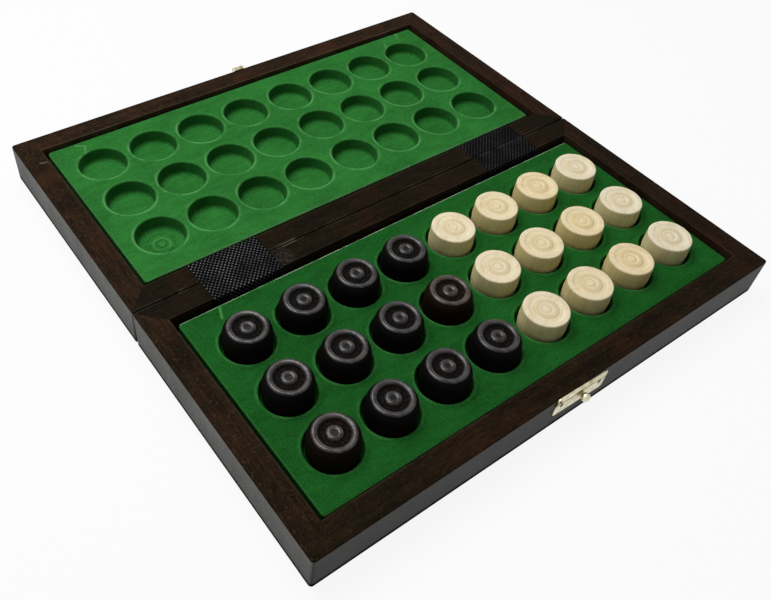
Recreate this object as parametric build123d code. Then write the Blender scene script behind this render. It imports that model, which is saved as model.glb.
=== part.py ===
from build123d import *
import math
import os

# Folding checkers set, lying open and flat: a tray and a lid, joined by two cloth straps.
# Origin: on the table, under the middle of the hinge line. +X runs along the hinge line,
# +Y from the tray towards the lid, +Z up. All sizes are in millimetres.
# The tray is the half with negative Y. The lid is the same half, mirrored across the hinge line.

# Checkers, all turned to one diameter; every drop is measured down from the top of the face
checker_diameter = 28.2
checkers_per_side = 12

# Black checkers: a round shoulder, a broad bead, a hollow and a dimpled boss on each face
black_height = 21.6
shoulder_drop = 6.2
shoulder_step = 0.4
bead_foot_radius = 12.1
bead_foot_drop = 1.3
bead_crest_radius = 10.5
bead_inner_radius = 8.3
bead_inner_drop = 0.9
hollow_outer_radius = 7.1
hollow_inner_radius = 6.1
hollow_drop = 1.8
boss_foot_radius = 5.0
boss_foot_drop = 1.5
boss_crest_radius = 2.8
boss_crest_drop = 0.3
dimple_radius = 1.25
dimple_drop = 1.0

# White checkers: a slight taper to each face, an eased edge and shallow turned rings
white_height = 19.3
white_taper = 0.4
white_edge_radius = 0.8
white_ring_turns = (
    (10.9, 0.0),
    (9.4, 0.42),
    (7.5, 0.42),
    (6.0, 0.05),
    (4.3, 0.05),
    (3.3, 0.3),
    (2.7, 0.3),
    (1.5, 0.06),
)

# Pockets for the checkers, pressed into a thin flocked sheet in each half
pocket_columns = 8
pocket_rows = 3
pocket_clearance = 0.9
pocket_flare = 0.9
pocket_lip_radius = 0.95
pocket_floor_fillet = 2.3
mould_ring_radii = (3.2, 8.6)
mould_ring_width = 2.0
mould_ring_depth = 0.45
ring_marked_pocket = 1
closed_slack = 0.7
web_between_columns = 3.4
middle_web_extra = 1.5
sheet_thickness = 0.8
sheet_below_rim = 2.45
sheet_side_margin = 9.55
sheet_hinge_margin = 14.15
sheet_outer_margin = 11.85
sheet_corner_radius = 1.9
sheet_edge_radius = 1.3

# Room round the flocked sheet, inside the walls
side_gap = 3.0
hinge_gap = 4.0
outer_gap = 1.5
room_under_pockets = 12.75

# Wooden frame and panel of each half
rail_width = 15.0
seam_gap = 0.4
seam_lean = 0.8
corner_radius = 2.0
top_edge_radius = 0.8
bottom_edge_radius = 1.6
seam_edge_radius = 1.0
panel_thickness = 3.0
panel_recess = 0.3
rabbet_width = 5.0
veneer_thickness = 0.6
squares_across = 8

# Cloth hinge straps, glued over the two hinge rails and down behind the sheet
strap_width = 47.3
strap_thickness = 1.2
strap_end_margin = 43.45
strap_leg = 11.0
strap_bend_radius = 1.1
strap_recess_clearance = 0.1

# Catch on the tray's front wall
plate_length = 40.8
plate_height = 14.2
plate_thickness = 0.8
plate_corner_radius = 2.2
plate_edge_radius = 0.3
plate_top_drop = 1.0
catch_skew = -3.0
catch_plate_shift = 0.5
latch_offset = 3.4
bead_width = 3.1
bead_rise = 0.7
stud_ball_radius = 2.7
stud_neck_radius = 1.4
stud_out = 4.3
stud_lift = 0.8
stud_collar_radius = 2.1
stud_collar_height = 0.9
nail_spacing = 30.8
nail_head_radius = 1.3
nail_head_height = 0.5
nail_head_rounding = 0.25
nail_shank_radius = 0.6
nail_length = 8.0
nail_clearance = 0.15

# Hasp on the lid's outer wall
knuckle_radius = 2.0
knuckle_drop = 1.5
knuckle_width = 8.0
lug_width = 1.8
lug_clearance = 0.2
knuckle_clearance = 0.5
pin_radius = 0.9
pin_running_clearance = 0.05
flap_thickness = 0.9
flap_neck_start = 2.7
eye_clearance = 0.9
eye_wall = 2.0
tab_length = 2.6
tab_width = 5.6
tab_overlap = 1.0
tab_corner_radius = 0.8
tab_bend = 30.0

# Worked out from the sizes above
checker_radius = checker_diameter / 2
floor_radius = checker_radius + pocket_clearance
throat_radius = floor_radius + pocket_flare
lip_radius = throat_radius + pocket_lip_radius
pocket_depth = (max(black_height, white_height) + closed_slack) / 2 - sheet_below_rim
pitch_x = 2 * lip_radius + web_between_columns
grid_length = (pocket_columns - 1) * pitch_x + middle_web_extra
sheet_length = grid_length + 2 * (lip_radius + sheet_side_margin)
well_length = sheet_length + 2 * side_gap
case_length = well_length + 2 * rail_width
square_size = well_length / squares_across
half_depth = square_size * squares_across / 2 + rail_width
sheet_near = rail_width + hinge_gap
sheet_far = half_depth - rail_width - outer_gap
grid_near = sheet_near + sheet_hinge_margin + lip_radius
grid_far = sheet_far - sheet_outer_margin - lip_radius
pitch_y = (grid_far - grid_near) / (pocket_rows - 1)
panel_top = panel_recess + panel_thickness
floor_underside = panel_top + room_under_pockets
pocket_floor = floor_underside + sheet_thickness
sheet_top = pocket_floor + pocket_depth
rim = sheet_top + sheet_below_rim
strap_centre = case_length / 2 - strap_end_margin - strap_width / 2
plate_middle = rim - plate_top_drop - plate_height / 2
stud_height = plate_middle + stud_lift
plate_drill = 4 * plate_thickness
knuckle_out = knuckle_radius + knuckle_clearance
knuckle_height = rim - knuckle_drop
latched_drop = knuckle_drop + rim - stud_height
eye_radius = stud_ball_radius + eye_clearance

parts = {}


def keep(name, shape):
    """Stores one sub-part, to be written as parts/name.step."""
    parts[name] = shape


def block(x, y, z):
    """A box given by its low and high limits along each axis."""
    middle = [(low + high) / 2 for low, high in (x, y, z)]
    sizes = [high - low for low, high in (x, y, z)]
    return Pos(*middle) * Box(*sizes)


def prism(points, low, high):
    """An upright prism over a plan outline given as points."""
    outline = Polyline(*points, close=True)
    return extrude(Pos(0, 0, low) * make_face(outline), high - low)


def to_lid(shape):
    """The same shape on the lid's side of the hinge line."""
    return mirror(shape, about=Plane.XZ)


def half_envelope():
    """The outside of the tray half, every outer edge eased; the seam wall leans in at its foot."""
    depth = half_depth - seam_gap / 2
    outline = Polyline((0, 0), (depth - seam_lean, 0), (depth, rim), (0, rim), close=True)
    side_plane = Plane(origin=(-case_length / 2, -half_depth, 0), x_dir=(0, 1, 0), z_dir=(1, 0, 0))
    shape = extrude(side_plane * make_face(outline), case_length)
    for radius, near_seam in ((corner_radius, False), (seam_edge_radius, True)):
        upright = shape.edges().filter_by(lambda edge: edge.bounding_box().size.Z > rim - 1)
        shape = fillet([edge for edge in upright if (edge.center().Y > -half_depth / 2) == near_seam], radius)
    shape = fillet(shape.edges().group_by(Axis.Z)[0], bottom_edge_radius)
    return fillet(shape.edges().group_by(Axis.Z)[-1], top_edge_radius)


def strap_places():
    return (-strap_centre, strap_centre)


def on_front_wall(shape, height):
    """Stands a shape, drawn with +Z out of a wall and +Y up, on the front wall at the latch's middle."""
    wall = Plane(origin=(latch_offset, -half_depth, height), x_dir=(1, 0, 0), z_dir=(0, -1, 0))
    return wall * shape


def plate_turn(skew):
    """How a latch plate sits on the wall: the tray's is a little crooked and off to one side."""
    shift = catch_plate_shift if skew else 0
    return Pos(shift, 0, 0) * Rot(0, 0, skew)


def at_both_nails(shape, skew):
    """A shape, drawn with +Z out of the wall, at each of a latch plate's two nails."""
    spots = [Pos(side * nail_spacing / 2, 0, 0) for side in (-1, 1)]
    return [on_front_wall(plate_turn(skew) * spot * shape, plate_middle) for spot in spots]


def nail_shank():
    return Pos(0, 0, -nail_length / 2) * Cylinder(nail_shank_radius, nail_length)


def frame_and_panel(skew):
    """The four mitred rails and the panel of a half, by name."""
    envelope = half_envelope()
    length = case_length / 2
    inner = well_length / 2
    inner_front = -half_depth + rail_width
    panel_side = inner + rabbet_width
    panel_front = inner_front - rabbet_width
    panel_space = block((-panel_side, panel_side), (panel_front, half_depth), (panel_recess, panel_top))
    under = block((-panel_side, panel_side), (panel_front, half_depth), (-rim, panel_top))
    well = block((-inner, inner), (inner_front, -rail_width), (-rim, 2 * rim))
    frame = envelope - under - well
    recess_floor = rim - strap_thickness - strap_recess_clearance
    for middle in strap_places():
        reach = (middle - strap_width / 2, middle + strap_width / 2)
        frame -= block(reach, (-rail_width - strap_thickness, rail_width), (recess_floor, 2 * rim))
    for hole in at_both_nails(nail_shank(), skew):
        frame -= hole
    outer = ((-length, -half_depth), (length, -half_depth), (length, 0), (-length, 0))
    inside = ((-inner, inner_front), (inner, inner_front), (inner, -rail_width), (-inner, -rail_width))
    rails = {}
    for number, name in enumerate(("outer_rail", "right_rail", "hinge_rail", "left_rail")):
        after = (number + 1) % 4
        wedge = prism((outer[number], outer[after], inside[after], inside[number]), -rim, 2 * rim)
        rails[name] = frame & wedge
    veneer_top = panel_recess + veneer_thickness
    squares_room = block((-inner, inner), (inner_front, half_depth), (-rim, veneer_top))
    panel = (panel_space & envelope) - squares_room
    return rails, panel, envelope


def playing_squares(envelope):
    """The veneer squares of a half's outer face, as two lists: one colour, then the other."""
    colours = ([], [])
    layer = (panel_recess, panel_recess + veneer_thickness)
    for column in range(squares_across):
        for row in range(squares_across // 2):
            left = column * square_size - well_length / 2
            front = row * square_size - half_depth + rail_width
            square = block((left, left + square_size), (front, front + square_size), layer)
            if row == squares_across // 2 - 1:
                square = square & envelope
            colours[(column + row) % 2].append(square)
    return colours


def pocket_centres():
    """Pocket middles of the tray half, row by row from the hinge line outwards."""
    centres = []
    for row in range(pocket_rows):
        for column in range(pocket_columns):
            step = column - (pocket_columns - 1) / 2
            x = step * pitch_x + math.copysign(middle_web_extra / 2, step)
            centres.append((x, -grid_near - row * pitch_y))
    return centres


def turned(edges):
    """A solid of revolution about Z, from a closed outline drawn as radius and height."""
    return revolve(Plane.XZ * make_face(edges), Axis.Z)


def pocket_cavity(ring_radii=()):
    """The hollow of one pocket, with its flared lip and any rings left by the mould in its floor."""
    lip_bend = pocket_lip_radius * (1 - math.sqrt(0.5))
    wall_foot = pocket_floor_fillet - pocket_depth
    foot_radius = floor_radius + pocket_flare * pocket_floor_fillet / pocket_depth
    throat = (throat_radius, -pocket_lip_radius)
    foot = (foot_radius, wall_foot)
    above = sheet_below_rim
    outline = [
        Line((0, above), (lip_radius, above)),
        Line((lip_radius, above), (lip_radius, 0)),
        ThreePointArc((lip_radius, 0), (throat_radius + lip_bend, -lip_bend), throat),
        Line(throat, foot),
    ]
    corner = foot_radius - pocket_floor_fillet
    bend = pocket_floor_fillet * math.sqrt(0.5)
    outline.append(ThreePointArc(foot, (corner + bend, wall_foot - bend), (corner, -pocket_depth)))
    points = [(corner, -pocket_depth)]
    for radius in sorted(ring_radii, reverse=True):
        for offset, depth in ((0.5, 0), (0.25, 1), (-0.25, 1), (-0.5, 0)):
            points.append((radius + offset * mould_ring_width, -pocket_depth - depth * mould_ring_depth))
    points += [(0, -pocket_depth), (0, above)]
    outline += [Line(a, b) for a, b in zip(points, points[1:])]
    return turned(outline)


def pocket_cup():
    """The outside of one pocket, under the sheet."""
    top = -sheet_thickness / 2
    outline = Polyline(
        (0, top),
        (throat_radius + sheet_thickness, top),
        (floor_radius + sheet_thickness, -pocket_depth),
        (floor_radius - pocket_floor_fillet / 2, -pocket_depth - sheet_thickness),
        (0, -pocket_depth - sheet_thickness),
        close=True,
    )
    return turned(outline.edges())


def flocked_sheet(marked):
    """The pressed sheet of a half: a skirted shell with its cups, one of them perhaps marked."""
    length, depth = sheet_length, sheet_far - sheet_near
    middle = Pos(0, -(sheet_near + sheet_far) / 2, panel_top)
    outside = extrude(RectangleRounded(length, depth, sheet_corner_radius), sheet_top - panel_top)
    outside = fillet(outside.edges().group_by(Axis.Z)[-1], sheet_edge_radius)
    wall = 2 * sheet_thickness
    hollow_plan = RectangleRounded(length - wall, depth - wall, sheet_corner_radius - sheet_thickness)
    hollow = extrude(hollow_plan, sheet_top - panel_top - sheet_thickness)
    hollow = fillet(hollow.edges().group_by(Axis.Z)[-1], sheet_edge_radius - sheet_thickness)
    shell = middle * (outside - hollow)
    places = [Pos(x, y, sheet_top) for x, y in pocket_centres()]
    cup, plain, ringed = pocket_cup(), pocket_cavity(), pocket_cavity(mould_ring_radii)
    hollows = [place * (ringed if number == marked else plain) for number, place in enumerate(places, 1)]
    return shell.fuse(*[place * cup for place in places]).cut(*hollows)


def eased_step(outer, inner):
    """Two tangent arcs that lead from one level of a turned face to the next."""
    halfway = tuple((a + b) / 2 for a, b in zip(outer, inner))
    return [TangentArc(outer, halfway, tangent=(-1, 0)), TangentArc(inner, halfway, tangent=(1, 0))]


def reversible(upper, height):
    """A turned piece that is the same both ways up, from the outline of its upper half."""
    lower = [edge.mirror(Plane.XZ) for edge in upper]
    top = upper[-1] @ 1
    axis = Line((0, top.Y), (0, -top.Y))
    return Pos(0, 0, height / 2) * turned([*upper, *lower, axis])


def black_checker():
    """A round-shouldered checker with a broad bead, a hollow and a dimpled boss on each face."""
    half = black_height / 2
    waist = (checker_radius, half - shoulder_drop)
    ledge = (bead_foot_radius + shoulder_step, half - bead_foot_drop - shoulder_step)
    foot = (bead_foot_radius, half - bead_foot_drop)
    crest = (bead_crest_radius, half)
    inner = (bead_inner_radius, half - bead_inner_drop)
    hollow_outer = (hollow_outer_radius, half - hollow_drop)
    hollow_inner = (hollow_inner_radius, half - hollow_drop)
    boss_foot = (boss_foot_radius, half - boss_foot_drop)
    boss_crest = (boss_crest_radius, half - boss_crest_drop)
    dimple = (dimple_radius, half - dimple_drop)
    upper = [
        Line((checker_radius, 0), waist),
        TangentArc(waist, ledge, tangent=(0, 1)),
        Line(ledge, foot),
        TangentArc(crest, foot, tangent=(1, 0)),
        TangentArc(crest, inner, tangent=(-1, 0)),
        Line(inner, hollow_outer),
        Line(hollow_outer, hollow_inner),
        Line(hollow_inner, boss_foot),
        TangentArc(boss_crest, boss_foot, tangent=(1, 0)),
        TangentArc(boss_crest, dimple, tangent=(-1, 0)),
        Line(dimple, (0, half - dimple_drop)),
    ]
    return reversible(upper, black_height)


def white_checker():
    """A nearly straight-sided checker with eased edges and shallow turned rings on each face."""
    half = white_height / 2
    rim_radius = checker_radius - white_taper
    eased = (rim_radius, half - white_edge_radius)
    face_edge = (rim_radius - white_edge_radius, half)
    turns = [(radius, half - drop) for radius, drop in white_ring_turns]
    points = [face_edge, *turns, (0, turns[-1][1])]
    upper = [Line((checker_radius, 0), eased), TangentArc(face_edge, eased, tangent=(1, 0))]
    for outer, inner in zip(points, points[1:]):
        upper += [Line(outer, inner)] if outer[1] == inner[1] else eased_step(outer, inner)
    return reversible(upper, white_height)


def strap(middle):
    """One cloth strap: flat over both hinge rails, then down the inner face of each."""
    top = rim - strap_recess_clearance
    outside = rail_width + strap_thickness
    foot = top - strap_leg
    under = top - strap_thickness
    outline = Polyline(
        (-outside, foot),
        (-outside, top),
        (outside, top),
        (outside, foot),
        (rail_width, foot),
        (rail_width, under),
        (-rail_width, under),
        (-rail_width, foot),
        close=True,
    )
    face = make_face(outline)
    for side in (-outside, outside):
        face = fillet(face.vertices().sort_by_distance((side, top, 0))[0], strap_bend_radius)
    side_plane = Plane(origin=(middle - strap_width / 2, 0, 0), x_dir=(0, 1, 0), z_dir=(1, 0, 0))
    return extrude(side_plane * face, strap_width)


def latch_plate():
    """A plate with rounded corners and two nail holes, drawn flat with +Z out of the wall."""
    plate = extrude(RectangleRounded(plate_length, plate_height, plate_corner_radius), plate_thickness)
    plate = fillet(plate.edges().group_by(Axis.Z)[-1], plate_edge_radius)
    for side in (-1, 1):
        place = Pos(side * nail_spacing / 2, 0, 0)
        plate -= place * Cylinder(nail_head_radius + nail_clearance, plate_drill)
    return plate


def latch_nails(skew):
    """The two nails of a latch plate, with low domed heads seated on the wood in the plate's holes."""
    head = Cylinder(nail_head_radius, nail_head_height, align=(Align.CENTER, Align.CENTER, Align.MIN))
    head = fillet(head.edges().group_by(Axis.Z)[-1], nail_head_rounding)
    return at_both_nails(head + nail_shank(), skew)


def catch_plate():
    """The catch's plate, with a broad, low bead along its upper edge and a hole for the stud."""
    bead_reach = plate_length - 2 * plate_corner_radius
    bead_curve = (bead_width**2 / 4 + bead_rise**2) / (2 * bead_rise)
    bead_up = plate_height / 2 - plate_edge_radius - bead_width / 2
    bead = Rot(0, 90, 0) * Cylinder(bead_curve, bead_reach)
    bead = Pos(0, bead_up, plate_thickness + bead_rise - bead_curve) * bead
    all_over = (-plate_length, plate_length)
    bead -= block(all_over, all_over, (-2 * bead_curve, plate_thickness / 2))
    plate = plate_turn(catch_skew) * (latch_plate() + bead)
    plate -= Pos(0, stud_lift, 0) * Cylinder(stud_neck_radius, plate_drill)
    return on_front_wall(plate, plate_middle)


def catch_stud():
    """The ball-headed stud, with a collar that bears on the plate and a tail through it."""
    tail = extrude(Circle(stud_neck_radius), stud_out)
    collar = Pos(0, 0, plate_thickness) * extrude(Circle(stud_collar_radius), stud_collar_height)
    ball = Pos(0, 0, stud_out) * Sphere(stud_ball_radius)
    return on_front_wall(tail + collar + ball, stud_height)


def knuckle_axis():
    """Where the hasp turns, on the tray's side of the hinge line, before it is mirrored to the lid."""
    return Pos(latch_offset, -half_depth - knuckle_out, knuckle_height)


def barrel(radius, low, high):
    """A round bar along the hasp's axis, between two places across it."""
    bar = Rot(0, 90, 0) * Cylinder(radius, high - low)
    return Pos((low + high) / 2, 0, 0) * bar


def hasp_plate():
    """The hasp's plate, whose two lugs curl round the pin."""
    plate = on_front_wall(latch_plate(), plate_middle)
    wall = -half_depth
    edge = block((-plate_length, plate_length), (wall - plate_thickness, wall), (knuckle_height, rim))
    plate -= Pos(latch_offset, 0, 0) * edge
    outer = knuckle_width / 2
    for low, high in ((-outer, lug_width - outer), (outer - lug_width, outer)):
        lug = barrel(knuckle_radius, low, high)
        root = block((low, high), (0, knuckle_out), (-knuckle_radius, 0))
        plate += knuckle_axis() * (lug + root)
    notch = barrel(knuckle_radius + knuckle_clearance, lug_width - outer, outer - lug_width)
    plate -= knuckle_axis() * notch
    plate -= knuckle_axis() * barrel(pin_radius, -knuckle_width, knuckle_width)
    return to_lid(plate)


def hasp_pin():
    half = knuckle_width / 2
    return to_lid(knuckle_axis() * barrel(pin_radius, -half, half))


def hasp_flap():
    """The flap, hanging: a knuckle, a leaf with an eye for the stud, and a bent finger tab."""
    half = knuckle_width / 2 - lug_width - lug_clearance
    outer = eye_radius + eye_wall
    drop = -latched_drop
    leaf = Pos(0, drop) * Circle(outer)
    right = ((half, 0), (half, -flap_neck_start), (outer, drop))
    left = [(-x, y) for x, y in reversed(right)]
    neck = make_face(Polyline(*right, *left, close=True))
    leaf = leaf + neck - Pos(0, drop) * Circle(eye_radius)
    leaf_plane = Plane(origin=(0, 0, 0), x_dir=(1, 0, 0), z_dir=(0, -1, 0))
    flap = extrude(leaf_plane * leaf, flap_thickness / 2, both=True)
    tab_start = drop - outer + tab_overlap
    tab = Pos(0, 0, -tab_length / 2) * Box(tab_width, flap_thickness, tab_length)
    tab = fillet(tab.edges().filter_by(Axis.Y).group_by(Axis.Z)[0], tab_corner_radius)
    flap += Pos(0, 0, tab_start) * Rot(tab_bend, 0, 0) * tab
    flap += barrel(knuckle_radius, -half, half)
    flap -= barrel(pin_radius + pin_running_clearance, -knuckle_width, knuckle_width)
    return to_lid(knuckle_axis() * flap)


def make_half(name, place, skew, marked):
    """Keeps the frame, panel, squares and sheet of one half."""
    rails, panel, envelope = frame_and_panel(skew)
    for rail, shape in rails.items():
        keep(f"{name}_{rail}", place(shape))
    keep(f"{name}_panel", place(panel))
    light, dark = playing_squares(envelope)
    if name == "lid":
        light, dark = dark, light
    keep(f"{name}_light_squares", Compound([place(square) for square in light]))
    keep(f"{name}_dark_squares", Compound([place(square) for square in dark]))
    keep(f"{name}_insert", place(flocked_sheet(marked)))


def make_checkers():
    """Sets the checkers in the tray's pockets: black in the left columns, white in the right ones."""
    seats = {"black": [], "white": []}
    for x, y in pocket_centres():
        seats["black" if x < 0 else "white"].append(Pos(x, y, pocket_floor))
    shapes = {"black": black_checker(), "white": white_checker()}
    for colour, places in seats.items():
        for number, seat in enumerate(places[:checkers_per_side], 1):
            keep(f"{colour}_checker_{number:02d}", seat * shapes[colour])


make_half("tray", lambda shape: shape, catch_skew, 0)
make_half("lid", to_lid, 0, ring_marked_pocket)
for side, middle in zip(("left", "right"), strap_places()):
    keep(f"{side}_strap", strap(middle))
keep("catch_plate", catch_plate())
keep("catch_stud", catch_stud())
keep("catch_nails", Compound(latch_nails(catch_skew)))
keep("hasp_plate", hasp_plate())
keep("hasp_pin", hasp_pin())
keep("hasp_nails", Compound([to_lid(nail) for nail in latch_nails(0)]))
keep("hasp_flap", hasp_flap())
make_checkers()

os.makedirs("parts", exist_ok=True)
for name, shape in parts.items():
    export_step(shape, f"parts/{name}.step")
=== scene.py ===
"""Folding checkers set: finishes, cloth straps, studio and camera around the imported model.

Sizes are in metres, in the part's own frame: the origin is on the table under the hinge line,
+X runs along the hinge line, +Y from the tray to the lid, +Z up. Colours are linear red, green
and blue. A pair of reaches says where a mark has faded out and where it is full.
"""

import math

import bmesh
import bpy
from mathutils import Matrix, Vector


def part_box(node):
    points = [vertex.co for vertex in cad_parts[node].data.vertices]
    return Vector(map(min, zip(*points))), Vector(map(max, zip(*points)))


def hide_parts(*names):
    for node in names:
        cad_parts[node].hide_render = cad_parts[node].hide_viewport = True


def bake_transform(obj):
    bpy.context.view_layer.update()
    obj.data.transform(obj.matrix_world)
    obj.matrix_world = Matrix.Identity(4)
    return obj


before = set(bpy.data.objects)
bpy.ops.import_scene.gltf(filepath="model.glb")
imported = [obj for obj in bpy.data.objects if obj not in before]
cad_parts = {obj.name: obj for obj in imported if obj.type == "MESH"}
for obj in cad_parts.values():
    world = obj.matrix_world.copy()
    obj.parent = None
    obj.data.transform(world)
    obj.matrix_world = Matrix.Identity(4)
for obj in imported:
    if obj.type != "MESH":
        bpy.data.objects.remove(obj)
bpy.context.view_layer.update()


def middle_of(node):
    low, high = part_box(node)
    return (low + high) / 2


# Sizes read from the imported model
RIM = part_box("tray_outer_rail")[1].z
CASE_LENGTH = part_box("tray_right_rail")[1].x * 2
HALF_DEPTH = -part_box("tray_outer_rail")[0].y
WELL_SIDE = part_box("tray_right_rail")[0].x
WELL_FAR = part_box("lid_outer_rail")[0].y
WELL_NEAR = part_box("lid_hinge_rail")[1].y
SHEET_LOW, SHEET_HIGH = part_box("tray_insert")
SHEET_TOP = SHEET_HIGH.z
SHEET_SIDE = SHEET_HIGH.x
SHEET_FAR = -SHEET_LOW.y
SHEET_NEAR = -SHEET_HIGH.y

# Pocket pattern of the flocked sheets, read from the checkers that sit in it
FIRST_COLUMN = middle_of("white_checker_01").x
COLUMN_PITCH = middle_of("white_checker_02").x - FIRST_COLUMN
MIDDLE_ROW = -middle_of("white_checker_05").y
ROW_PITCH = middle_of("white_checker_01").y + MIDDLE_ROW

# Pitches from the first column, and from the middle row, to the outermost ones
OUTER_COLUMN_STEP = 3
OUTER_ROW_STEP = 1

# Rails: lines and wear, by the distance from the edge that each follows
MITRE_LINE = 0.0003
SEAM_EDGE = 0.001
RIM_MARKS = (0.0014, 0.0006)
SEAM_WEAR = (0.0007, 0.0003)
WELL_WEAR = (0.0012, 0.0003)
FAR_EDGE_LINE = (0.0019, 0.0011)

# Rails: marks by their place in plan
WORN_SEAMS = ((-0.146, 0), (-0.068, 0))
WORN_SEAM_RADIUS = 0.016
STRAP_SCUFF = (-0.0795, -0.0085)
STRAP_SCUFF_RADIUS = 0.009
CORNER_SCRATCH = ((-0.1663, 0.1476), (-0.1614, 0.1469))
SCRATCH_WIDTH = 0.0007

# Rails: the lacquered outer wall, by the distance from the case's outline, the rim or the table
WALL_START = (0.0009, 0.0004)
WALL_BELOW_RIM = (0.0003, 0.0012)
WALL_FOOT = (0.005, 0.003)
# Painted shade on the outer walls fades in from below the rim down to just above the table
DIMMING_BELOW_RIM = 0.001
DIMMING_ABOVE_TABLE = 0.003

RED_STAIN = (0.05, 0.0125, 0.0055)
BARE_SEAM = (0.12, 0.105, 0.09)
SCUFF_GREY = (0.075, 0.066, 0.06)
SCRATCH_GREY = (0.16, 0.14, 0.12)
RUBBED_AND_LIT_BROWN = (0.08, 0.054, 0.034)
EDGE_SHADOW = (0.0015, 0.0012, 0.001)
WALL_FOOT_BLACK = (0.002, 0.002, 0.002)
WALL_PAINTED_SHADE = (0.5, 0.5, 0.49)

# Flock: the camera's side in plan, towards which the lips' painted sheen is strongest, the pocket lips and
# the sheet's edges
CAMERA_SIDE = (-0.63, -0.77)
LIP_RADIUS = 0.01675
LIP_WIDTH = (0.0017, 0.0001)
LIP_WOBBLE = 0.0004
POCKET_WALL_SHADE = (0.0138, 0.0151)
POCKET_WALL_SHADE_BELOW = (0.0004, 0.0016)
SHEET_FACE = (0.0011, 0.0003)
SHEET_EDGE = (0.0011, 0.0004)
SHEET_EDGE_BELOW = (0.0018, 0.0006)
WORN_SHEET_EDGE = (0.0014, 0.0005)
WORN_SHEET_EDGE_BELOW = (0.0018, 0.0008)
WORN_FLOCK = (0.46, 0.6, 0.42)
CREASE_WIDTH = 0.0013
LID_CREASES = (((-0.1387, 0.1563), (-0.1328, 0.1526)), ((-0.1328, 0.1526), (-0.1359, 0.145)),
               ((0.1432, 0.159), (0.1393, 0.1505)), ((0.1249, 0.15), (0.1212, 0.1413)))
TRAY_CREASES = (((-0.13, -0.0183), (-0.1342, -0.0289)),)

# The pocket with mould rings is the lid's, opposite the first black checker
RINGED_POCKET = (middle_of("black_checker_01").x, -middle_of("black_checker_01").y)
RINGED_POCKET_REACH = 0.018
MOULD_RINGS = (0.0012, 0.0052)
MOULD_RING_WIDTH = (0.0012, 0.0)

# Black checkers, by the depth below a face and the radius
HOLLOW_DEPTH = (0.0006, 0.0011)
HOLLOW_RADIUS = (0.0088, 0.0078)
BOSS_RADIUS = (0.0052, 0.0048)
BOSS_DROP = 0.0003
CREST_DEPTH = (0.0011, 0.0)

BROWNED_CHECKERS = {8: 1.0, 9: 0.4}
LEAST_WARMTH = 0.08

# Pale checkers, by the depth below a face and the radius
SIDE_DEPTH = (0.0005, 0.002)
SIDE_YELLOWING = (0.84, 0.8, 0.6)
GROOVE_OUTSIDE = (0.0074, 0.0068)
GROOVE_INSIDE = (0.0048, 0.0054)
GROOVE_SHADOW_RADII = (0.0071, 0.0052, 0.0028)
GROOVE_SHADOW_WIDTH = (0.0006, 0.0001)
PALE_WOOD = (0.93, 0.83, 0.61)
YELLOWING = (0, -0.35, -0.8)
YELLOWING_STEP = 0.05
YELLOWING_LEVELS = 4

# The grain of each pale checker is rotated from the last one's by this many radians
GRAIN_TURN = 0.83
CHECKERS_PER_SIDE = 12

# Catch plate, by the height from its middle line; the plate is nailed on askew
PLATE_SKEW = math.radians(3)
PLATE_BEAD_FOOT = 0.0037
BEAD_SHADE_ABOVE_FOOT = (0.0018, 0.0011)
BEAD_SHADE_BELOW_FOOT = (0.0025, 0.0019)
PLATE_FACE = (0.0003, -0.0001)
STUD_GRIME_RADIUS = 0.0042
STUD_GRIME_DEPTH = 0.001
GRIME_AND_BEAD_SHADE = (0.1, 0.085, 0.025)

# Webbing of the straps: raised floats in staggered rows
STRAP_THICKNESS = 0.0012
STRAP_BEND = 0.0011
WEAVE_ACROSS = 0.00285
WEAVE_ALONG = 0.003
WEAVE_RELIEF = 0.00022
STEPS_PER_FLOAT = 8
SEAM_DIP = 0.00025

# Selvedges: their width, the share of the relief that they keep, and how they ripple and wander
SELVEDGE = 0.0011
SELVEDGE_RELIEF = 0.3
SELVEDGE_PICKS = 0.0001
PICKS_PER_FLOAT = 0.9
SELVEDGE_DRIFT = 0.00022
SELVEDGE_DRIFT_RATE = 430

# Dust on the fold, by the distance from the seam in repeats of the weave
FOLD_REACH = (0.32, 0.08)
FOLD_DUST = (0.09, 0.095, 0.09)

# Studio and camera; the floor lies just under the rails, so that the two faces don't flicker
EYE = (-0.2802, -0.2955)
EYE_ABOVE_RIM = 0.3569
LOOK = (0.4329, 0.5249, -0.7329)
UP = (0.3971, 0.6189, 0.6777)
LENS = 38.79
FRAME_SHIFT = (0.0754, -0.0229)
FLOOR_REACH = 4.0
FLOOR_DROP = 0.0001
FLOOR_GREY = (0.86, 0.86, 0.86, 1)
FLOOR_WHITENESS = 0.9
ROOM_LIGHT = 0.21


# Colours


def shade(colour, factor, lift=0.0):
    """A colour scaled by one factor, or by one for each channel, and lifted, with 1 at most."""
    factors = factor if isinstance(factor, tuple) else (factor,) * 3
    return tuple(min(1, value * scale + lift) for value, scale in zip(colour, factors))


def halfway(dark, pale):
    return tuple((a + b) / 2 for a, b in zip(dark, pale))


def warmed(colour, extra, warmth):
    """A colour with more or less of each channel, as far as its warmth goes."""
    return tuple(value + more * warmth for value, more in zip(colour, extra))


def run_along(axis, lengthwise, crosswise):
    """Noise scales that stretch a grain along one axis."""
    if axis == "x":
        return (lengthwise, crosswise, crosswise)
    return (crosswise, lengthwise, crosswise)


# Shader building


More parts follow.
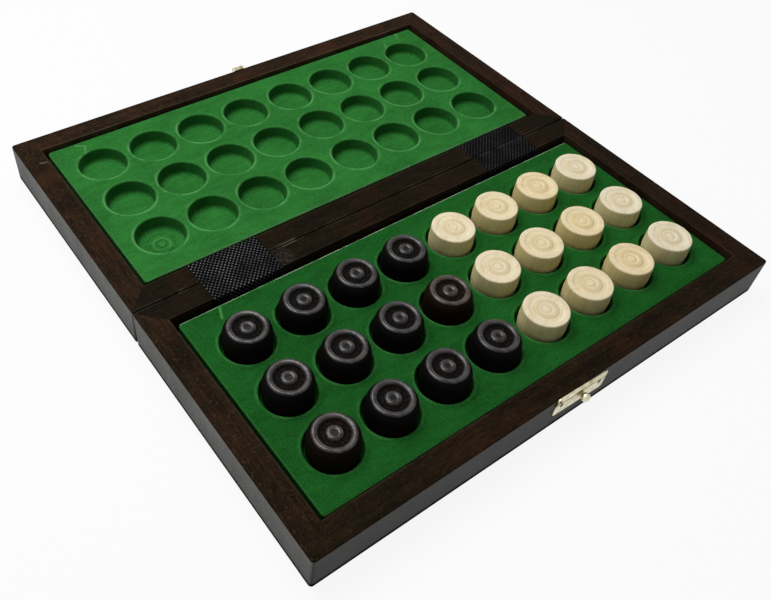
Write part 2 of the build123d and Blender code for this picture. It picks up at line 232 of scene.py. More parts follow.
class Finish:
    """A material whose pattern is built from a few named steps; below, f is the one being made."""

    def __init__(self, name):
        self.material = bpy.data.materials.new(name)
        self.material.use_nodes = True
        self.tree = self.material.node_tree
        self.shader = self.tree.nodes["Principled BSDF"]
        self.object_place = self.add("ShaderNodeTexCoord").outputs["Object"]

    def add(self, kind, **settings):
        node = self.tree.nodes.new(kind)
        for key, value in settings.items():
            setattr(node, key, value)
        return node

    def feed(self, socket, value):
        if isinstance(value, bpy.types.NodeSocket):
            self.tree.links.new(value, socket)
        else:
            socket.default_value = value

    def math(self, operation, a, b=0.0, c=0.0, clamp=False):
        node = self.add("ShaderNodeMath", operation=operation, use_clamp=clamp)
        for socket, value in zip(node.inputs, (a, b, c)):
            self.feed(socket, value)
        return node.outputs[0]

    def times(self, a, b, clamp=False):
        return self.math("MULTIPLY", a, b, clamp=clamp)

    def plus(self, a, b):
        return self.math("ADD", a, b)

    def minus(self, a, b):
        return self.math("SUBTRACT", a, b)

    def scaled(self, value, factor, rest):
        """The value times a factor, plus the rest."""
        return self.math("MULTIPLY_ADD", value, factor, rest)

    def larger(self, a, b):
        return self.math("MAXIMUM", a, b)

    def smaller(self, a, b):
        return self.math("MINIMUM", a, b)

    def unsigned(self, value):
        return self.math("ABSOLUTE", value)

    def gap(self, a, b):
        """How far apart two values are."""
        return self.unsigned(self.minus(a, b))

    def reach(self, x, y):
        """How far a place is from the origin, straight."""
        return self.math("SQRT", self.plus(self.times(x, x), self.times(y, y)))

    def axes(self, place=None):
        node = self.add("ShaderNodeSeparateXYZ")
        self.feed(node.inputs[0], place or self.object_place)
        return node.outputs

    def vector(self, x, y, z):
        node = self.add("ShaderNodeCombineXYZ")
        for socket, value in zip(node.inputs, (x, y, z)):
            self.feed(socket, value)
        return node.outputs[0]

    def stretched(self, scale, place=None, turn=(0, 0, 0), shift=(0, 0, 0)):
        node = self.add("ShaderNodeMapping")
        self.feed(node.inputs["Vector"], place or self.object_place)
        node.inputs["Scale"].default_value = scale
        node.inputs["Rotation"].default_value = turn
        node.inputs["Location"].default_value = shift
        return node.outputs[0]

    def noise(self, place, detail, roughness=0.55, distortion=0.0):
        node = self.add("ShaderNodeTexNoise")
        self.feed(node.inputs["Vector"], place)
        node.inputs["Scale"].default_value = 1.0
        node.inputs["Detail"].default_value = detail
        node.inputs["Roughness"].default_value = roughness
        node.inputs["Distortion"].default_value = distortion
        return node.outputs["Fac"]

    def grain(self, scale, detail, roughness=0.55, distortion=0.0, **placing):
        """Noise over space that is scaled alike, or by one number for each axis."""
        scales = scale if isinstance(scale, tuple) else (scale,) * 3
        return self.noise(self.stretched(scales, **placing), detail, roughness, distortion)

    def band(self, value, low, high, smooth=True):
        """0 at low, 1 at high and steady beyond them; low may be the greater one."""
        node = self.add("ShaderNodeMapRange", clamp=True)
        node.interpolation_type = "SMOOTHSTEP" if smooth else "LINEAR"
        self.feed(node.inputs["Value"], value)
        node.inputs["From Min"].default_value = low
        node.inputs["From Max"].default_value = high
        return node.outputs["Result"]

    def short_of(self, value, edge, reaches):
        """A band whose reaches are measured back from an edge."""
        return self.band(value, edge - reaches[0], edge - reaches[1])

    def past(self, value, edge, reaches):
        """A band whose reaches are measured on from an edge."""
        return self.band(value, edge + reaches[0], edge + reaches[1])

    def colours(self, factor, stops):
        node = self.add("ShaderNodeValToRGB")
        ramp = node.color_ramp
        while len(ramp.elements) < len(stops):
            ramp.elements.new(0.5)
        for element, (place, colour) in zip(ramp.elements, stops):
            element.position = place
            element.color = (*colour, 1.0)
        self.feed(node.inputs["Fac"], factor)
        return node.outputs["Color"]

    def mix(self, factor, a, b, how="MIX"):
        node = self.add("ShaderNodeMix", data_type="RGBA", blend_type=how)
        for index, value in ((0, factor), (6, a), (7, b)):
            if isinstance(value, tuple) and len(value) == 3:
                value = (*value, 1.0)
            self.feed(node.inputs[index], value)
        return node.outputs[2]

    def tint(self, base, colour, mask, amount):
        """Lays a colour over the base where the mask is, as strongly as the amount says."""
        return self.mix(self.times(mask, amount), base, colour)

    def spot(self, x, y, middle, radius):
        """1 round a place, 0 beyond the radius."""
        core = radius * 0.3
        return self.band(self.reach(self.minus(x, middle[0]), self.minus(y, middle[1])), radius, core)

    def crease(self, x, y, line, width):
        """1 along a short straight line, 0 beside it and beyond its ends."""
        (x1, y1), (x2, y2) = line
        length = math.hypot(x2 - x1, y2 - y1)
        along_x, along_y = (x2 - x1) / length, (y2 - y1) / length
        dx, dy = self.minus(x, (x1 + x2) / 2), self.minus(y, (y1 + y2) / 2)
        along = self.plus(self.times(dx, along_x), self.times(dy, along_y))
        beside = self.minus(self.times(dy, along_x), self.times(dx, along_y))
        ends = self.band(self.unsigned(along), length / 2 + width, length / 2 - width)
        core = width * 0.2
        return self.times(self.band(self.unsigned(beside), width, core), ends)

    def bump(self, *layers):
        """Layers are (height, strength, distance in metres), the coarsest first."""
        normal = None
        for height, strength, distance in layers:
            node = self.add("ShaderNodeBump")
            node.inputs["Strength"].default_value = strength
            node.inputs["Distance"].default_value = distance
            self.feed(node.inputs["Height"], height)
            if normal is not None:
                self.feed(node.inputs["Normal"], normal)
            normal = node.outputs[0]
        self.feed(self.shader.inputs["Normal"], normal)

    def set(self, **values):
        names = {
            "color": "Base Color",
            "roughness": "Roughness",
            "metallic": "Metallic",
            "specular": "Specular IOR Level",
            "sheen": "Sheen Weight",
            "sheen_roughness": "Sheen Roughness",
            "sheen_tint": "Sheen Tint",
            "coat": "Coat Weight",
            "coat_roughness": "Coat Roughness",
        }
        for key, value in values.items():
            if isinstance(value, tuple) and len(value) == 3:
                value = (*value, 1.0)
            self.feed(self.shader.inputs[names[key]], value)


# Stained rails


def rail_wear(f, wood, x, y, z, speck, inside_wear_and_highlight):
    """Bare wood along the seam, a scuff by a strap, a scratch, and a worn edge round the well that also
    carries a painted highlight, strongest on the lid's back rail.
    """
    near_rim = f.short_of(z, RIM, RIM_MARKS)
    patches = f.band(f.grain(45, 3, 0.6, shift=(2.2, 0, 0)), 0.42, 0.62)
    worn = f.times(f.band(f.gap(f.unsigned(y), SEAM_EDGE), *SEAM_WEAR), near_rim)
    stretch = f.larger(*[f.spot(x, y, place, WORN_SEAM_RADIUS) for place in WORN_SEAMS])
    worn = f.times(worn, f.times(f.scaled(stretch, 0.8, 0.2), patches))
    wood = f.tint(wood, BARE_SEAM, worn, 0.7)
    scuffed = f.times(f.spot(x, y, STRAP_SCUFF, STRAP_SCUFF_RADIUS), near_rim)
    wood = f.tint(wood, SCUFF_GREY, f.times(scuffed, f.band(speck, 0.4, 0.7)), 0.55)
    scratch = f.times(f.crease(x, y, CORNER_SCRATCH, SCRATCH_WIDTH), near_rim)
    wood = f.tint(wood, SCRATCH_GREY, scratch, 0.9)
    off_side = f.minus(f.unsigned(x), WELL_SIDE)
    off_far = f.minus(f.unsigned(y), WELL_FAR)
    off_near = f.minus(WELL_NEAR, f.unsigned(y))
    off_well = f.larger(off_side, f.larger(off_far, off_near))
    # Paler brown round the well: partly worn wood, partly a painted highlight
    inside = f.times(f.band(off_well, *WELL_WEAR), f.scaled(patches, 0.6, 0.4))
    return f.tint(wood, RUBBED_AND_LIT_BROWN, inside, inside_wear_and_highlight)


def rail_lines(f, wood, x, y, to_end, to_front, dark):
    """A dark line along the case's right and back edges, and a thin one at each mitre."""
    far_edge = f.smaller(f.minus(CASE_LENGTH / 2, x), f.minus(HALF_DEPTH, y))
    wood = f.tint(wood, EDGE_SHADOW, f.band(far_edge, *FAR_EDGE_LINE), 0.9)
    off_mitre = f.smaller(f.gap(to_end, to_front), f.gap(to_end, f.unsigned(y)))
    return f.tint(wood, shade(dark, 0.2), f.band(off_mitre, MITRE_LINE, MITRE_LINE / 3), 0.75)


def wall_coat(f, z, wall, foot):
    """Worn lacquer of an outer wall: painted shade makes it dimmer towards the table, and it is nearly black
    at its foot.
    """
    scuff = f.grain((70, 70, 30), 5, 0.65)
    rubbing_and_highlight = f.grain(1500, 2, 0.6)
    coat = f.colours(f.scaled(rubbing_and_highlight, 0.4, f.times(scuff, 0.6)),
                     ((0.36, shade(wall, 0.7)), (0.62, shade(wall, 1.3))))
    # Painted shade: the wall darkens towards the table
    painted_wall_shade = f.band(z, RIM - DIMMING_BELOW_RIM, DIMMING_ABOVE_TABLE, smooth=False)
    return f.mix(foot, f.mix(painted_wall_shade, coat, WALL_PAINTED_SHADE, how="MULTIPLY"), WALL_FOOT_BLACK)


def stained_rail(name, along, dark, pale, red, seed, wall, inside_wear_and_highlight=0.3):
    """Dark stained wood with pores along the rail; its outer wall is lacquered."""
    f = Finish(name)
    x, y, z = f.axes()
    streaks = f.grain(run_along(along, 9, 210), 4, 0.6, 0.3, shift=(seed, seed, 0))
    pores = f.grain(run_along(along, 110, 1300), 3, 0.65, shift=(seed, 0, 0))
    cloud = f.grain(34, 4, 0.6, shift=(seed, 2, 0))
    speck = f.grain(620, 3, 0.7)
    tone = f.plus(f.times(streaks, 0.5), f.times(cloud, 0.5))
    wood = f.colours(tone, ((0.36, dark), (0.5, halfway(dark, pale)), (0.64, pale)))
    wood = f.tint(wood, RED_STAIN, f.band(cloud, 0.47, 0.66), red)
    wood = f.tint(wood, shade(dark, 0.3), f.band(pores, 0.47, 0.64), 0.7)
    wood = f.tint(wood, shade(pale, 2.6), f.band(speck, 0.54, 0.72), 0.6)
    wood = rail_wear(f, wood, x, y, z, speck, inside_wear_and_highlight)
    to_end = f.minus(CASE_LENGTH / 2, f.unsigned(x))
    to_front = f.minus(HALF_DEPTH, f.unsigned(y))
    wood = rail_lines(f, wood, x, y, to_end, to_front, dark)
    on_wall = f.larger(f.band(to_end, *WALL_START), f.band(to_front, *WALL_START))
    on_wall = f.times(on_wall, f.short_of(z, RIM, WALL_BELOW_RIM))
    foot = f.times(f.band(z, *WALL_FOOT), 0.7)
    gloss = f.times(on_wall, f.scaled(foot, -1.0, 0.2))
    f.set(color=f.mix(on_wall, wood, wall_coat(f, z, wall, foot)), specular=0.03,
          roughness=f.minus(f.scaled(pores, 0.2, 0.5), gloss))
    f.bump((streaks, 0.3, 0.0004), (pores, 0.5, 0.00018))
    return f.material


# Flocked sheets


def off_pattern(f, place, middle, pitch, most):
    """How far a place is from the nearest pocket middle along one axis of the sheet."""
    away = f.minus(f.unsigned(place), middle)
    step = f.math("ROUND", f.math("DIVIDE", away, pitch))
    step = f.larger(f.smaller(step, most), -most)
    return f.minus(away, f.times(step, pitch))


def pocket_lip_wear_and_sheen(f, x, y, radius, off_column, off_row, wobble, rub, on_face):
    """The pockets' lips: worn patches and painted sheen, strongest on the side that faces the camera."""
    facing_camera = f.plus(f.times(f.times(off_column, f.math("SIGN", x)), CAMERA_SIDE[0]),
                      f.times(f.times(off_row, f.math("SIGN", y)), CAMERA_SIDE[1]))
    facing_camera = f.band(f.math("DIVIDE", facing_camera, radius), -0.75, 0.35)
    from_lip = f.minus(f.plus(radius, wobble), LIP_RADIUS)
    lips = f.times(f.band(f.unsigned(from_lip), *LIP_WIDTH), on_face)
    return f.times(f.times(lips, rub), f.scaled(facing_camera, 0.85, 0.15))


def sheet_edges(f, x, y, z):
    """The four bent edges of a sheet."""
    at_side = f.short_of(f.unsigned(x), SHEET_SIDE, SHEET_EDGE)
    at_far = f.short_of(f.unsigned(y), SHEET_FAR, SHEET_EDGE)
    at_near = f.past(f.unsigned(y), SHEET_NEAR, SHEET_EDGE)
    edges = f.larger(at_side, f.larger(at_far, at_near))
    return f.times(edges, f.short_of(z, SHEET_TOP, SHEET_EDGE_BELOW))


def flocked_green(name, tone, lip, lip_strength, edge_wear, creases, crease_strength, mould_rings=()):
    """Short green flock on a pressed sheet: paler where its nap bends over edges and creases; the lips are
    worn and carry painted sheen, and the pocket walls carry painted shade.
    """
    f = Finish(name)
    x, y, z = f.axes()
    off_column = off_pattern(f, x, FIRST_COLUMN, COLUMN_PITCH, OUTER_COLUMN_STEP)
    off_row = off_pattern(f, y, MIDDLE_ROW, ROW_PITCH, OUTER_ROW_STEP)
    radius = f.reach(off_column, off_row)
    wobble = f.scaled(f.grain(160, 2), LIP_WOBBLE * 2, -LIP_WOBBLE)
    rub = f.scaled(f.band(f.grain(85, 3), 0.36, 0.6), 0.75, 0.25)
    on_face = f.short_of(z, SHEET_TOP, SHEET_FACE)
    clumps = f.grain(420, 4, 0.7)
    fibres = f.grain(1250, 3, 0.75)
    cloud = f.grain(30, 4, 0.6, 0.4)
    brushed = f.grain((60, 260, 60), 3, 0.6, turn=(0, 0, 0.45))
    tones = f.scaled(brushed, 0.3, f.scaled(clumps, 0.3, f.times(cloud, 0.4)))
    base = f.colours(tones, ((0.38, shade(tone, 0.72)), (0.5, tone), (0.62, shade(tone, 1.3))))
    base = f.tint(base, shade(tone, 1.6, lift=0.012), f.band(fibres, 0.5, 0.68), 0.6)
    base = f.tint(base, shade(tone, 0.35), f.band(fibres, 0.5, 0.32), 0.5)
    # Pale lips: worn flock, with painted sheen strongest towards the camera
    lips = pocket_lip_wear_and_sheen(f, x, y, radius, off_column, off_row, wobble, rub, on_face)
    base = f.tint(base, lip, lips, lip_strength)
    base = f.tint(base, lip, sheet_edges(f, x, y, z), 0.4)
    worn_edge = f.times(f.past(f.unsigned(y), SHEET_NEAR, WORN_SHEET_EDGE),
                        f.short_of(z, SHEET_TOP, WORN_SHEET_EDGE_BELOW))
    base = f.tint(base, WORN_FLOCK, f.times(worn_edge, rub), edge_wear)
    # Painted shade on the pocket walls below the lips
    wall = f.times(f.band(radius, *POCKET_WALL_SHADE), f.short_of(z, SHEET_TOP, POCKET_WALL_SHADE_BELOW))
    base = f.tint(base, shade(tone, 0.3), wall, 0.38)
    bent_x, bent_y = f.plus(x, wobble), f.minus(y, wobble)
    for line in creases:
        mark = f.times(f.crease(bent_x, bent_y, line, CREASE_WIDTH), on_face)
        base = f.tint(base, lip, mark, crease_strength)
    for ring_radius in mould_rings:
        off_ring = f.gap(f.plus(radius, wobble), ring_radius)
        mark = f.times(f.band(off_ring, *MOULD_RING_WIDTH), f.spot(x, y, RINGED_POCKET, RINGED_POCKET_REACH))
        base = f.tint(base, lip, f.times(mark, rub), 0.45)
    f.set(color=base, roughness=0.95, specular=0.02, sheen=0.1, sheen_roughness=0.5, sheen_tint=lip)
    f.bump((cloud, 0.3, 0.0012), (clumps, 0.45, 0.0003), (fibres, 0.6, 0.00025))
    return f.material


# Turned checkers


def turned_places(f, node):
    """Places from a checker's own middle, with their height, radius and depth below the nearer face."""
    low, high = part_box(node)
    middle = middle_of(node)
    place = f.stretched((1, 1, 1), shift=(-middle.x, -middle.y, -middle.z))
    x, y, z = f.axes(place)
    return place, z, f.reach(x, y), f.minus((high.z - low.z) / 2, f.unsigned(z))


def turning_marks(f, radius, z, scale, roughness):
    """Fine rings that a tool leaves on the faces and round the side."""
    return f.noise(f.vector(f.times(radius, scale), 0.0, f.times(z, scale)), 2, roughness)


def black_lacquer(name, node, warmth):
    """Black paint over wood from the lathe: glossy on the bead and the boss, which also carry a paler
    painted highlight; matt elsewhere.
    """
    f = Finish(name)
    place, z, radius, below_face = turned_places(f, node)
    rings = turning_marks(f, radius, z, 2400, 0.6)
    grain = f.grain((900, 900, 60), 3, 0.6, place=place)
    cloud = f.grain(120, 3, 0.6, place=place)
    dust = f.grain(1300, 3, 0.7, place=place)
    hollow = f.times(f.band(below_face, *HOLLOW_DEPTH), f.band(radius, *HOLLOW_RADIUS))
    boss_drop = f.times(f.band(radius, *BOSS_RADIUS), BOSS_DROP)
    crest = f.band(f.minus(below_face, boss_drop), *CREST_DEPTH)
    scratched = f.scaled(f.band(dust, 0.4, 0.62), 0.3, f.times(f.band(cloud, 0.34, 0.62), 0.4))
    # Where the crest mask is, the bead and the boss get real gloss and a paler painted highlight colour
    polish_and_highlight = f.times(crest, f.scaled(scratched, 1.5, 0.3), clamp=True)
    matt = warmed((0.0016, 0.0015, 0.0015), (0.006, 0.002, 0), warmth)
    rubbing_and_highlight = warmed((0.036, 0.0345, 0.034), (0.035, 0.012, 0), warmth)
    pale_dust = warmed((0.06, 0.045, 0.034), (0.05, 0.01, 0), warmth)
    dusty = f.colours(dust, ((0.55, (0.0016, 0.0014, 0.0012)), (0.76, pale_dust)))
    f.set(color=f.tint(f.mix(polish_and_highlight, matt, rubbing_and_highlight), dusty, hollow, 0.8), specular=0.04, coat=polish_and_highlight,
          coat_roughness=0.26, roughness=f.scaled(cloud, 0.24, 0.5))
    f.bump((grain, 0.15, 0.00012), (rings, 0.4, 0.00015), (dust, 0.45, 0.0001))
    return f.material


def bare_wood(name, node, turn, tone):
    """Bare pale wood from the lathe: growth rings on the faces, straight yellower grain down the side, and
    painted shade in a groove with painted shadow lines at its edges.
    """
    f = Finish(name)
    place, z, radius, below_face = turned_places(f, node)
    spun = f.stretched((1, 1, 1), place=place, turn=(0, 0, turn))
    side_grain = f.grain((900, 900, 22), 4, 0.65, place=spun)
    growth = f.grain((300, 60, 8), 3, 0.5, 0.8, place=spun)
    turning = turning_marks(f, radius, z, 1700, 0.5)
    cloud = f.grain(110, 3, 0.5, place=place)
    side = f.band(below_face, *SIDE_DEPTH)
    deep = shade(tone, (0.88, 0.82, 0.7))
    figure = f.plus(f.times(side_grain, 0.35), f.times(growth, 0.35))
    figure = f.plus(figure, f.times(cloud, 0.3))
    base = f.colours(figure, ((0.36, deep), (0.5, tone), (0.62, shade(tone, 1.08))))
    base = f.tint(base, deep, f.band(turning, 0.5, 0.7), 0.12)
    base = f.mix(side, base, SIDE_YELLOWING, how="MULTIPLY")
    # Painted shade in a groove on each face, with painted shadow lines at its edges and at a fine inner ring
    groove_shade = f.times(f.times(f.band(radius, *GROOVE_OUTSIDE), f.band(radius, *GROOVE_INSIDE)), 0.55)
    for ring_radius in GROOVE_SHADOW_RADII:
        ring_shadow = f.band(f.gap(radius, ring_radius), *GROOVE_SHADOW_WIDTH)
        groove_shade = f.larger(groove_shade, f.times(ring_shadow, f.scaled(cloud, 1.2, 0.2)))
    groove_shade = f.times(groove_shade, f.band(side, 0.6, 0.3))
    base = f.tint(base, shade(tone, (0.8, 0.71, 0.54)), groove_shade, 0.9)
    f.set(color=base, roughness=0.65, specular=0.12)
    f.bump((side_grain, 0.2, 0.00012), (turning, 0.3, 0.00015))
    return f.material


# Webbing, metal and veneer


def black_webbing(name, highlight_and_gloss, folded):
    """Coarse black webbing: small glossy floats with a painted highlight over matt ground, dusty where it
    folds at the seam.
    """
    f = Finish(name)
    weave = f.add("ShaderNodeUVMap", uv_map="weave").outputs["UV"]
    across, along, _ = f.axes(weave)
    crown = f.times(f.math("COSINE", f.times(across, math.tau)), f.math("COSINE", f.times(along, math.tau)))
    crown = f.band(crown, 0.4, 0.95)
    yarn = f.grain((26, 3.5, 1), 3, 0.6, place=weave)
    worn = f.grain(75, 4, 0.6)
    # The floats' paler colour is a painted highlight
    float_highlight = f.colours(worn, ((0.38, shade((0.03, 0.03, 0.033), highlight_and_gloss)),
                                  (0.62, shade((0.2, 0.195, 0.205), highlight_and_gloss))))
    ground = f.mix(yarn, (0.001, 0.001, 0.0014), (0.0025, 0.0025, 0.003))
    fold = f.times(f.band(f.unsigned(along), *FOLD_REACH), f.band(worn, 0.38, 0.6))
    cloth = f.tint(f.mix(crown, ground, float_highlight), FOLD_DUST, fold, folded)
    f.set(color=cloth, specular=0.03, coat=f.times(crown, 0.5 * highlight_and_gloss), coat_roughness=0.3,
          roughness=f.scaled(yarn, 0.25, 0.6))
    f.bump((crown, 0.5, 0.0002), (yarn, 0.4, 0.0001))
    return f.material


def catch_grime_and_shade(f, base, tarnish):
    """Painted shade along the catch plate's bead, grime round the stud, and plating that flakes off its
    face.
    """
    x, y, z = f.axes()
    middle, stud = middle_of("catch_plate"), middle_of("catch_stud")
    across, up = f.minus(x, middle.x), f.minus(z, middle.z)
    up = f.plus(up, f.times(across, math.tan(PLATE_SKEW)))
    # Painted shade: a dark band under the bead
    shade_under_bead = f.times(f.past(up, PLATE_BEAD_FOOT, BEAD_SHADE_ABOVE_FOOT),
                         f.short_of(up, PLATE_BEAD_FOOT, BEAD_SHADE_BELOW_FOOT))
    by_stud = f.times(f.spot(x, z, (stud.x, stud.z), STUD_GRIME_RADIUS),
                      f.band(y, stud.y, stud.y + STUD_GRIME_DEPTH))
    base = f.tint(base, GRIME_AND_BEAD_SHADE, f.larger(shade_under_bead, f.times(by_stud, 0.8)), 0.9)
    flaked = f.band(f.grain((1500, 300, 1500), 3, 0.7), 0.46, 0.62)
    return f.tint(base, tarnish, f.times(flaked, f.past(up, PLATE_BEAD_FOOT, PLATE_FACE)), 0.5)


def pale_brass(name, plating, tarnish, grimy_and_shaded=False):
    """Thin, pale brass plating with scratches and tarnish."""
    f = Finish(name)
    cloud = f.grain(190, 4, 0.65)
    scratch = f.grain((90, 2600, 2600), 3, 0.6)
    base = f.colours(cloud, ((0.36, tarnish), (0.58, plating)))
    if grimy_and_shaded:
        base = catch_grime_and_shade(f, base, tarnish)
    f.set(color=base, metallic=1.0, roughness=f.scaled(cloud, 0.2, 0.2))
    f.bump((cloud, 0.12, 0.0003), (scratch, 0.2, 0.00006))
    return f.material


def dark_iron():
    """The latch's nails: dull, nearly black iron."""
    f = Finish("dark_nails")
    rust = f.grain(900, 3, 0.6)
    f.set(color=f.colours(rust, ((0.4, (0.008, 0.007, 0.006)), (0.7, (0.03, 0.024, 0.017)))),
          roughness=0.6, specular=0.04)
    f.bump((rust, 0.3, 0.0001))
    return f.material


def playing_veneer(name, along, dark, pale):
    """Lacquered veneer with its grain along one axis."""
    f = Finish(name)
    grain = f.grain(run_along(along, 9, 240), 5, 0.62, 0.6)
    pores = f.grain(run_along(along, 60, 1700), 2, 0.6)
    base = f.colours(grain, ((0.32, dark), (0.5, halfway(dark, pale)), (0.68, pale)))
    base = f.tint(base, shade(dark, 0.55), f.band(pores, 0.55, 0.7), 0.4)
    f.set(color=base, roughness=0.38, specular=0.45, coat=0.25, coat_roughness=0.25)
    f.bump((pores, 0.15, 0.00005))
    return f.material


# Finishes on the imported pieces


def dress(node, material):
    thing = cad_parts[node]
    thing.data.materials.clear()
    thing.data.materials.append(material)


def dress_case():
    # One lacquer on every outer wall: painted lighter on the side walls and darker on the front and back
    # walls, as light and shade fall on them
    lit_side_wall, shaded_front_wall = (0.128, 0.127, 0.12), (0.053, 0.052, 0.05)
    front = stained_rail("tray_front_stain", "x", dark=(0.0075, 0.0042, 0.0018),
                         pale=(0.022, 0.0135, 0.0058), red=0.2, seed=3.0, wall=shaded_front_wall)
    hinge = stained_rail("hinge_rail_stain", "x", dark=(0.0045, 0.0028, 0.0009),
                         pale=(0.0135, 0.0087, 0.0026), red=0.2, seed=7.0, wall=lit_side_wall)
    # The lid's back rail carries a strong painted highlight along its inner edge
    back = stained_rail("lid_back_stain", "x", dark=(0.009, 0.005, 0.0022),
                        pale=(0.036, 0.0195, 0.0085), red=0.35, seed=11.0, wall=shaded_front_wall,
                        inside_wear_and_highlight=0.75)
    left = stained_rail("left_rail_stain", "y", dark=(0.0095, 0.0052, 0.002),
                        pale=(0.033, 0.018, 0.0075), red=0.3, seed=5.0, wall=lit_side_wall)
    right = stained_rail("right_rail_stain", "y", dark=(0.008, 0.0042, 0.0018),
                         pale=(0.024, 0.013, 0.006), red=0.25, seed=9.0, wall=lit_side_wall)
    board = stained_rail("panel_stain", "x", dark=(0.01, 0.006, 0.0045),
                         pale=(0.03, 0.018, 0.012), red=0.1, seed=13.0, wall=shaded_front_wall)
    dark_square = playing_veneer("dark_square_veneer", "y", (0.03, 0.013, 0.008), (0.085, 0.037, 0.02))
    light_square = playing_veneer("light_square_veneer", "x", (0.5, 0.31, 0.15), (0.68, 0.47, 0.26))
    dress("tray_outer_rail", front)
    dress("lid_outer_rail", back)
    for half in ("tray", "lid"):
        dress(f"{half}_hinge_rail", hinge)
        dress(f"{half}_left_rail", left)
        dress(f"{half}_right_rail", right)
        dress(f"{half}_panel", board)
        dress(f"{half}_dark_squares", dark_square)
        dress(f"{half}_light_squares", light_square)
    # One flock on both sheets: the lid's is painted lighter and the tray's darker, as more light falls on
    # the lid
    dress("tray_insert", flocked_green("tray_flock", tone=(0.012, 0.105, 0.016), lip=(0.07, 0.3, 0.07),
                                       lip_strength=0.45, edge_wear=0.9, creases=TRAY_CREASES,
                                       crease_strength=0.8))
    dress("lid_insert", flocked_green("lid_flock", tone=(0.026, 0.172, 0.03), lip=(0.12, 0.38, 0.12),
                                      lip_strength=0.7, edge_wear=0.15, creases=LID_CREASES,
                                      crease_strength=0.45, mould_rings=MOULD_RINGS))


def dress_checkers():
    for number in range(1, CHECKERS_PER_SIDE + 1):
        black = f"black_checker_{number:02d}"
        warmth = BROWNED_CHECKERS.get(number, LEAST_WARMTH)
        dress(black, black_lacquer(f"black_lacquer_{number:02d}", black, warmth))
        white = f"white_checker_{number:02d}"
        tone = warmed(PALE_WOOD, YELLOWING, YELLOWING_STEP * (number % YELLOWING_LEVELS))
        dress(white, bare_wood(f"bare_wood_{number:02d}", white, number * GRAIN_TURN, tone))


def dress_latch():
    plated = pale_brass("plated_latch", (0.74, 0.71, 0.53), (0.46, 0.41, 0.2))
    for node in ("catch_stud", "hasp_plate", "hasp_flap", "hasp_pin"):
        dress(node, plated)
    dress("catch_plate", pale_brass("plated_catch", (0.78, 0.75, 0.56), (0.42, 0.38, 0.18), grimy_and_shaded=True))
    iron = dark_iron()
    for node in ("catch_nails", "hasp_nails"):
        dress(node, iron)


# Cloth hinge straps


def on_strap_path(along, flat_half, seat):
    """The place and the outward direction on a strap: flat, round the rail's edge, then straight down."""
    side = math.copysign(1, along)
    past = abs(along) - flat_half
    turn = min(max(past / STRAP_BEND, 0), math.pi / 2)
    down = max(past - math.pi / 2 * STRAP_BEND, 0)
    reach = flat_half + min(past, 0) + STRAP_BEND * math.sin(turn)
    height = seat - STRAP_BEND * (1 - math.cos(turn)) - down
    return Vector((0, side * reach, height)), Vector((0, side * math.sin(turn), math.cos(turn)))


def woven_strap(node, material):
    """Coarse black webbing, glued flat over both hinge rails and down behind the two sheets."""
    low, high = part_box(node)
    middle, width = (low.x + high.x) / 2, high.x - low.x
    seat = high.z - WEAVE_RELIEF
    flat_half = high.y - WEAVE_RELIEF - STRAP_BEND
    length = 2 * (flat_half + math.pi / 2 * STRAP_BEND + seat - STRAP_BEND - low.z)
    across = round(STEPS_PER_FLOAT * width / WEAVE_ACROSS)
    along = round(STEPS_PER_FLOAT * length / WEAVE_ALONG)

    # The grid is one unit square, and its vertices are then laid along the strap at real size
    bm = bmesh.new()
    weave = bm.loops.layers.uv.new("weave")
    bmesh.ops.create_grid(bm, x_segments=across, y_segments=along, size=0.5)
    for face in bm.faces:
        for loop in face.loops:
            place = loop.vert.co
            loop[weave].uv = (place.x * width / WEAVE_ACROSS, place.y * length / WEAVE_ALONG)
    for vertex in bm.verts:
        u, v = vertex.co.x * width, vertex.co.y * length
        crown = 0.5 + 0.5 * math.cos(math.tau * u / WEAVE_ACROSS) * math.cos(math.tau * v / WEAVE_ALONG)
        inside = min((width / 2 - abs(u)) / SELVEDGE, 1)
        place, outward = on_strap_path(v, flat_half, seat)
        dip = SEAM_DIP * math.exp(-((v / STRAP_THICKNESS) ** 2))
        relief = WEAVE_RELIEF * crown * (SELVEDGE_RELIEF + (1 - SELVEDGE_RELIEF) * inside)
        edge = (SELVEDGE_PICKS * math.sin(PICKS_PER_FLOAT * math.tau * v / WEAVE_ALONG)
                + SELVEDGE_DRIFT * math.sin(SELVEDGE_DRIFT_RATE * v + u))
        place += outward * (relief - dip)
        vertex.co = place + Vector((middle + u + edge * (1 - inside), 0, 0))
    mesh = bpy.data.meshes.new(f"{node}_webbing")
    bm.to_mesh(mesh)
    bm.free()
    mesh.materials.append(material)
    strap = bpy.data.objects.new(f"{node}_webbing", mesh)
    bpy.context.scene.collection.objects.link(strap)
    thicken = strap.modifiers.new("thickness", "SOLIDIFY")
    thicken.thickness = STRAP_THICKNESS - WEAVE_RELIEF
    thicken.offset = -1
    for face in mesh.polygons:
        face.use_smooth = True
    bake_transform(strap)
    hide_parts(node)


# Studio


def make_camera():
    """The photograph's camera, found from the case's corners."""
    eye = Vector((*EYE, RIM + EYE_ABOVE_RIM))
    look = Vector(LOOK).normalized()
    right = look.cross(Vector(UP).normalized()).normalized()
    up = right.cross(look)
    data = bpy.data.cameras.new("photo_camera")
    data.sensor_width = 36.0
    data.lens = LENS
    data.shift_x, data.shift_y = FRAME_SHIFT
    data.clip_start = 0.01
    data.clip_end = 20.0
    camera = bpy.data.objects.new("photo_camera", data)
    turn = Matrix((right, up, -look)).transposed().to_4x4()
    camera.matrix_world = Matrix.Translation(eye) @ turn
    bpy.context.scene.collection.objects.link(camera)
    bpy.context.scene.camera = camera


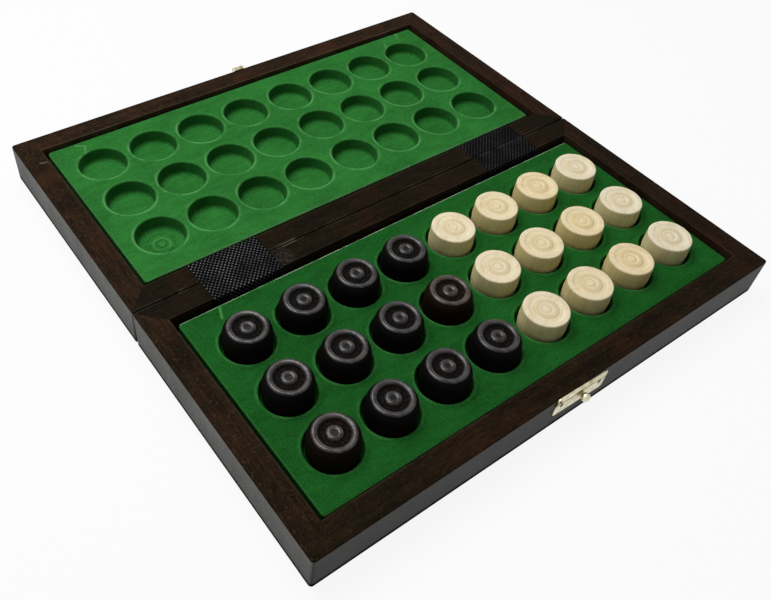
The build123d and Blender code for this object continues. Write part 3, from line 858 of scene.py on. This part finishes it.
def bare_rays(tree):
    """1 for rays that come from the camera, from a reflection or through glass, 0 for the rest."""
    rays = tree.nodes.new("ShaderNodeLightPath")
    total = rays.outputs["Is Camera Ray"]
    for kind in ("Is Glossy Ray", "Is Transmission Ray"):
        node = tree.nodes.new("ShaderNodeMath")
        node.operation = "MAXIMUM"
        tree.links.new(total, node.inputs[0])
        tree.links.new(rays.outputs[kind], node.inputs[1])
        total = node.outputs[0]
    return total


def make_floor():
    """A pale floor that shows white to the camera and keeps a soft shadow."""
    mesh = bpy.data.meshes.new("studio_floor")
    bm = bmesh.new()
    bmesh.ops.create_grid(bm, x_segments=1, y_segments=1, size=FLOOR_REACH)
    bmesh.ops.translate(bm, verts=bm.verts, vec=(0, 0, -FLOOR_DROP))
    bm.to_mesh(mesh)
    bm.free()
    floor = bpy.data.objects.new("studio_floor", mesh)
    bpy.context.scene.collection.objects.link(floor)
    material = bpy.data.materials.new("studio_floor_paper")
    material.use_nodes = True
    tree = material.node_tree
    shader = tree.nodes["Principled BSDF"]
    shader.inputs["Base Color"].default_value = FLOOR_GREY
    shader.inputs["Roughness"].default_value = 0.9
    glow = tree.nodes.new("ShaderNodeEmission")
    glow.inputs["Strength"].default_value = 1.0
    blend = tree.nodes.new("ShaderNodeMixShader")
    shown = tree.nodes.new("ShaderNodeMath")
    shown.operation = "MULTIPLY"
    shown.inputs[1].default_value = FLOOR_WHITENESS
    tree.links.new(bare_rays(tree), shown.inputs[0])
    tree.links.new(shown.outputs[0], blend.inputs[0])
    tree.links.new(shader.outputs[0], blend.inputs[1])
    tree.links.new(glow.outputs[0], blend.inputs[2])
    tree.links.new(blend.outputs[0], tree.nodes["Material Output"].inputs["Surface"])
    mesh.materials.append(material)


def make_world():
    """White to the camera and in reflections, an even soft light for the rest."""
    world = bpy.data.worlds.new("studio_room")
    bpy.context.scene.world = world
    world.use_nodes = True
    tree = world.node_tree
    tree.nodes.clear()
    soft = tree.nodes.new("ShaderNodeBackground")
    soft.inputs["Strength"].default_value = ROOM_LIGHT
    white = tree.nodes.new("ShaderNodeBackground")
    white.inputs["Strength"].default_value = 1.0
    blend = tree.nodes.new("ShaderNodeMixShader")
    output = tree.nodes.new("ShaderNodeOutputWorld")
    tree.links.new(bare_rays(tree), blend.inputs[0])
    tree.links.new(soft.outputs[0], blend.inputs[1])
    tree.links.new(white.outputs[0], blend.inputs[2])
    tree.links.new(blend.outputs[0], output.inputs["Surface"])


def soft_lamp(name, place, aim, size, power):
    data = bpy.data.lights.new(name, "AREA")
    data.shape = "DISK"
    data.size = size
    data.energy = power
    lamp = bpy.data.objects.new(name, data)
    lamp.location = place
    lamp.rotation_euler = (Vector(aim) - Vector(place)).to_track_quat("-Z", "Y").to_euler()
    bpy.context.scene.collection.objects.link(lamp)


make_camera()
make_floor()
make_world()
soft_lamp("key_overhead", place=(-0.15, 0.35, 0.95), aim=(-0.1, 0.05, 0), size=0.75, power=8.2)
soft_lamp("fill_from_the_left", place=(-1.3, 0.1, 0.7), aim=(0, 0, 0), size=0.9, power=2.0)

dress_case()
dress_checkers()
dress_latch()
# The right strap's painted highlight and gloss are weaker, as less light falls on it
woven_strap("left_strap", black_webbing("left_black_webbing", highlight_and_gloss=1.0, folded=0.1))
woven_strap("right_strap", black_webbing("right_black_webbing", highlight_and_gloss=0.36, folded=0.2))

bpy.context.scene.view_settings.view_transform = "Standard"
